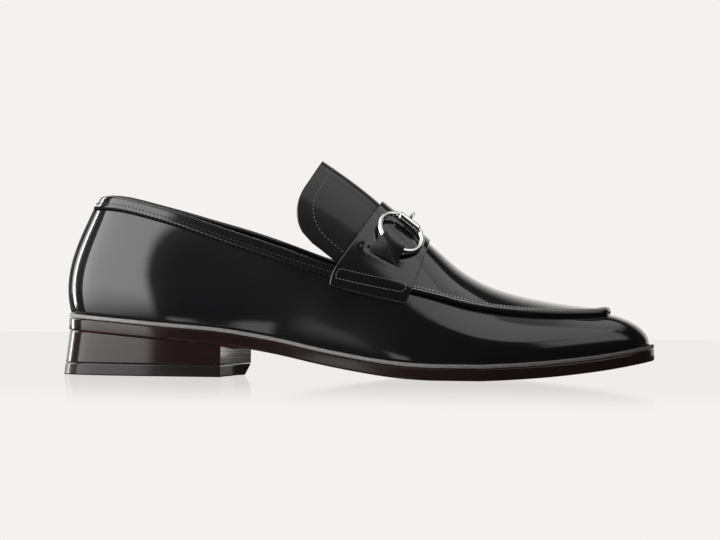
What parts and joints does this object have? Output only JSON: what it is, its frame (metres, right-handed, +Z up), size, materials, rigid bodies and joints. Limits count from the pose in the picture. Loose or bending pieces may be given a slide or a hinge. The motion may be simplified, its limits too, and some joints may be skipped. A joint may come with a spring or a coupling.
{
  "type": "bit loafer",
  "caption": "Black polished leather bit loafer for the right foot: apron toe, tall tongue, saddle strap with a silver snaffle bit, stacked heel.",
  "frame": {"origin": "on the floor under the middle of the shoe's box", "axes": "+X towards the toe, +Y towards the inner side of the foot, +Z up"},
  "size_m": [0.304, 0.1007, 0.1112],
  "materials": {
    "polished_leather": "high gloss black",
    "tongue_leather": "semi gloss black",
    "lining": "matte black",
    "welt_leather": "grey waxed edge",
    "sole_edge": "dark burnished edge paint",
    "top_piece_rubber": "satin black",
    "polished_steel": "polished"
  },
  "bodies": {
    "root": {"outsole": "sole_edge", "welt": "welt_leather", "insole": "lining", "heel_block": "sole_edge", "top_piece": "top_piece_rubber", "upper": "polished_leather", "back_strip": "polished_leather", "tongue": "tongue_leather", "saddle_strap": "polished_leather", "keeper_outer": "polished_leather", "keeper_inner": "polished_leather", "bit_ring_outer": "polished_steel", "bit_ring_inner": "polished_steel", "bit_bar": "polished_steel"}
  },
  "joints": []
}
